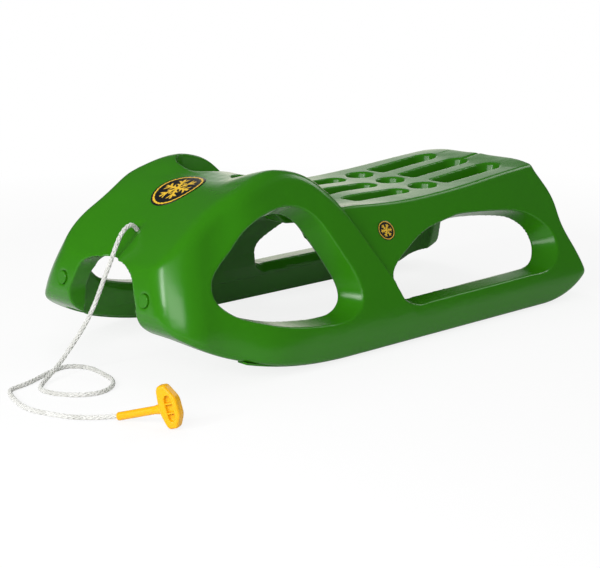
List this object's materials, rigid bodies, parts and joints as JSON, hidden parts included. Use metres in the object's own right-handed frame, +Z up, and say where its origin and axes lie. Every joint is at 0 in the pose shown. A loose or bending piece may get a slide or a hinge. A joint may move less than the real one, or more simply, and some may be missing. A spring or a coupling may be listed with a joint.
{
  "type": "snow sled",
  "caption": "Child's moulded plastic snow sled with a dished cowl, arched open sides, a pocketed seat and a tow rope with a T-handle.",
  "frame": {"origin": "on the ground, in the middle of the sled's footprint, measured without the rope and its handle", "axes": "+Z up, -Y towards the bow, where the tow rope is tied, and +X to the sled's own left"},
  "size_m": [0.5271, 1.1101, 0.2881],
  "materials": {
    "green_plastic": "gloss moulded",
    "rail_plastic": "smooth, lightly scuffed",
    "plug_plastic": "gloss moulded",
    "rope_braid": "braided",
    "yellow_plastic": "semi-gloss moulded"
  },
  "bodies": {
    "root": {"sled_body": "green_plastic", "runner_rail_left": "rail_plastic", "runner_rail_right": "rail_plastic", "toe_plug_left": "plug_plastic", "toe_plug_right": "plug_plastic", "rope_knot": "rope_braid", "tow_rope": "rope_braid", "tow_handle": "yellow_plastic"}
  },
  "joints": []
}
